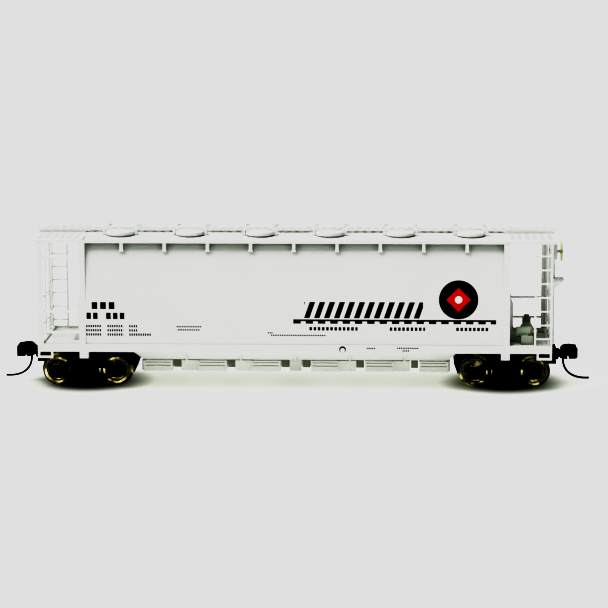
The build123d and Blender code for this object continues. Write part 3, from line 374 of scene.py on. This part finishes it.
# the brake gear's grey-green tint is painted shade on white fittings
brake_gear = white_paint("brake_gear_painted_shade", tint=(0.42, 0.46, 0.38), dust_and_corner_shade=0.5)
special.update({name: hatch_white for name in ("hatch_covers", "hatch_lugs")})
special.update({f"outlet_gate_{count}": gate_white for count in range(1, 7)})
special.update({name: brake_gear for name in ("air_reservoir", "control_valve", "brake_pipes")})
slots = {part["node"]: part["material_slot"] for part in frame["record"]["subparts"]}


def finish_nodes():
    """Give every CAD piece its finish and smooth shading on its curved faces."""
    for name, slot in slots.items():
        obj = frame["nodes"][name]
        material = special.get(name, finishes[slot])
        if not obj.material_slots:
            obj.data.materials.append(material)
        for material_slot in obj.material_slots:
            material_slot.link = "OBJECT"
            material_slot.material = material
        modifier = obj.modifiers.new("smooth", "NODES")
        modifier.node_group = smoothing


finish_nodes()


# ---------------------------------------------------------------- floor, light and camera
FLOOR_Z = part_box("wheels_outer_a")[0][2]
FLOOR_SIZE = 12.0
GLOW = 0.64
GLOW_REACH = 9 * MM
TRUCK_PLACE = sum(corner[0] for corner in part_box("truck_frame_b")) / 2
# the dark patch is a painted shadow on the floor under each truck
SHADE_HALVES = (6.7 * MM, 8.0 * MM)     # half length and half width of the dark patch under a truck


def floor():
    """A pale sheet that glows at least as much as it reflects, with painted shade under the car and a
    painted shadow under each truck.
    """
    bpy.ops.mesh.primitive_plane_add(size=FLOOR_SIZE, location=(0, 0, FLOOR_Z))
    sheet = bpy.context.object
    sheet.name = "floor"
    g = Graph("floor_sheet")
    g.bsdf.inputs["Specular IOR Level"].default_value = 0.25
    open_sky = g.tree.nodes.new("ShaderNodeAmbientOcclusion")
    open_sky.samples = 8
    open_sky.inputs["Distance"].default_value = GLOW_REACH
    x, y, _ = g.separate()
    # painted shadow: the floor's colour and glow darken in a soft patch round each truck
    along = g.math("DIVIDE", g.math("SUBTRACT", g.math("ABSOLUTE", x), TRUCK_PLACE), SHADE_HALVES[0])
    across = g.math("DIVIDE", y, SHADE_HALVES[1])
    squares = g.math("ADD", g.math("MULTIPLY", along, along), g.math("MULTIPLY", across, across))
    away = g.math("DIVIDE", g.math("SQRT", squares), 2.0)
    lit = g.ramp(away, ((0.38, (0.0,) * 3), (0.60, (0.40,) * 3), (0.95, (1.0,) * 3)))
    # painted shade: where the car hangs close over it, the floor's glow turns darker and greener
    glow = g.ramp(open_sky.outputs["AO"],
                  ((0.30, (0.57, 0.60, 0.52)), (0.72, (0.88, 0.91, 0.84)), (0.95, (1.0,) * 3)))
    glow = g.mix(1.0, glow, lit, "MULTIPLY")
    g.link(glow, g.bsdf.inputs["Emission Color"])
    sheet_colour = g.ramp(g.noise(120.0, 3.0), ((0.3, (0.45, 0.45, 0.44)), (0.7, (0.48, 0.48, 0.47))))
    g.link(g.mix(1.0, sheet_colour, lit, "MULTIPLY"), g.bsdf.inputs["Base Color"])
    g.bsdf.inputs["Emission Strength"].default_value = GLOW
    g.link(g.ramp(g.noise(3.0, 2.0), ((0.3, (0.48,) * 3), (0.7, (0.53,) * 3))), g.bsdf.inputs["Roughness"])
    sheet.data.materials.append(g.material)


SURROUND = 0.07
SURROUND_COLOUR = (0.88, 1.0, 0.88, 1)
KEY_FROM = (-0.42, -0.22, 0.88)
KEY_STRENGTH = 3.4
KEY_SPREAD = radians(50)
BACK_FROM = (0.5, 0.75, 0.55)
BACK_STRENGTH = 0.4
BACK_SPREAD = radians(40)
LOW_FROM = (-0.35, -0.9, 0.12)
LOW_STRENGTH = 1.8
LOW_SPREAD = radians(25)


def sun(name, toward, strength, spread):
    """A distant lamp shining from the given direction."""
    data = bpy.data.lights.new(name, "SUN")
    data.energy = strength
    data.angle = spread
    lamp = bpy.data.objects.new(name, data)
    lamp.rotation_euler = Vector(toward).to_track_quat("Z", "Y").to_euler()
    bpy.context.scene.collection.objects.link(lamp)
    return lamp


def lighting():
    """A soft light from the upper left, a weaker one from behind, a low one that lights the wheels alone
    and an even pale surround."""
    world = bpy.data.worlds.new("studio")
    world.use_nodes = True
    background = world.node_tree.nodes["Background"]
    background.inputs["Color"].default_value = SURROUND_COLOUR
    # the backdrop looks as bright as the floor to the camera, but lights the car only a little
    seen = world.node_tree.nodes.new("ShaderNodeLightPath")
    strength = world.node_tree.nodes.new("ShaderNodeMath")
    strength.operation = "MAXIMUM"
    strength.inputs[1].default_value = SURROUND
    world.node_tree.links.new(seen.outputs["Is Camera Ray"], strength.inputs[0])
    world.node_tree.links.new(strength.outputs[0], background.inputs["Strength"])
    bpy.context.scene.world = world
    sun("key", KEY_FROM, KEY_STRENGTH, KEY_SPREAD)
    sun("back", BACK_FROM, BACK_STRENGTH, BACK_SPREAD)
    wheels = bpy.data.collections.new("wheels_lit_low")
    for name in slots:
        if slots[name] == "wheel_bronze":
            wheels.objects.link(frame["nodes"][name])
    sun("low", LOW_FROM, LOW_STRENGTH, LOW_SPREAD).light_linking.receiver_collection = wheels


CAMERA_PLACE = (0.0214, -0.4852, 0.0958)
CAMERA_PITCH = radians(9.5)         # looking down
CAMERA_HEADING = radians(2.35)      # turned left of square on
CAMERA_ROLL = radians(-0.15)
FOCAL_WIDTHS = 4.25                 # focal length over the picture's width


def camera():
    """The photograph's view: from the side, a little above and a little right of the middle."""
    data = bpy.data.cameras.new("camera")
    data.sensor_width = 36.0
    data.lens = data.sensor_width * FOCAL_WIDTHS
    data.clip_start = 0.01
    data.clip_end = 20.0
    eye = bpy.data.objects.new("camera", data)
    turn = Matrix.Rotation(CAMERA_HEADING, 4, "Z") @ Matrix.Rotation(radians(90) - CAMERA_PITCH, 4, "X")
    eye.matrix_world = Matrix.Translation(CAMERA_PLACE) @ turn @ Matrix.Rotation(CAMERA_ROLL, 4, "Z")
    bpy.context.scene.collection.objects.link(eye)
    bpy.context.scene.camera = eye


PAPER = 0.745        # brightest grey of the print, linear
PRINT_CURVE = ((0.08, 0.003), (0.20, 0.035), (0.36, 0.22), (0.50, 0.50), (0.62, 0.68), (0.74, 0.743))


def develop():
    """A bright, hard print: pale greys clip to one even light grey and deep greys go black."""
    view = bpy.context.scene.view_settings
    view.view_transform = "Standard"
    view.use_curve_mapping = True
    print_curve = view.curve_mapping
    print_curve.extend = "HORIZONTAL"
    curve = print_curve.curves[3]
    curve.points[0].location = (0.0, 0.0)
    curve.points[-1].location = (1.0, PAPER)
    for place in PRINT_CURVE:
        curve.points.new(*place)
    print_curve.update()


floor()
lighting()
camera()
develop()
